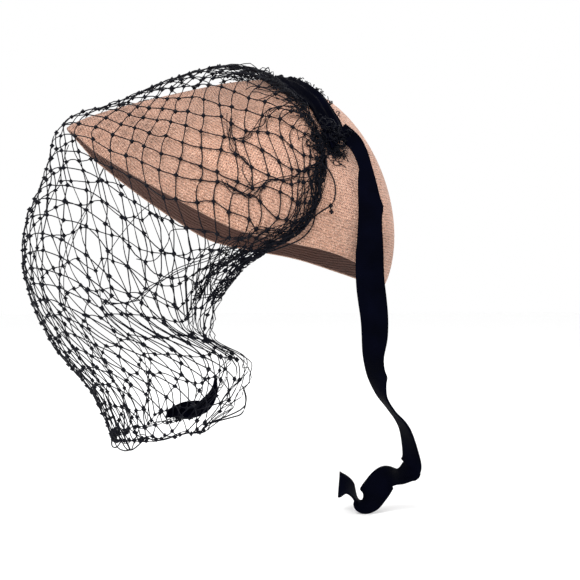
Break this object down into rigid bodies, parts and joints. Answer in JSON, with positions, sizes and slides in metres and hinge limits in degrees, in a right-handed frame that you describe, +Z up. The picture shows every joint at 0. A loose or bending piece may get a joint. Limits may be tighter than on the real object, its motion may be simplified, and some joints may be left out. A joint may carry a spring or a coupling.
{
  "type": "veiled calot hat",
  "caption": "Straw calot with a pointed peak, velvet ribbon band, long ribbon tie and a coarse net face veil with a small bow; it sits on the crown of the head.",
  "frame": {"origin": "middle of the head opening, where the head carries the hat", "axes": "+Z up as worn, the peak and the veil's front towards -X, the wearer's left towards -Y"},
  "size_m": [0.2631, 0.1664, 0.3066],
  "materials": {
    "straw": "finely woven straw, matt with a slight sheen",
    "velvet": "navy velvet ribbon with a soft sheen",
    "net": "navy silk-like net thread with small knots"
  },
  "bodies": {
    "root": {"crown": "straw", "ribbon_band": "velvet", "ribbon_tie": "velvet", "veil": "net", "veil_bow": "velvet"}
  },
  "joints": []
}
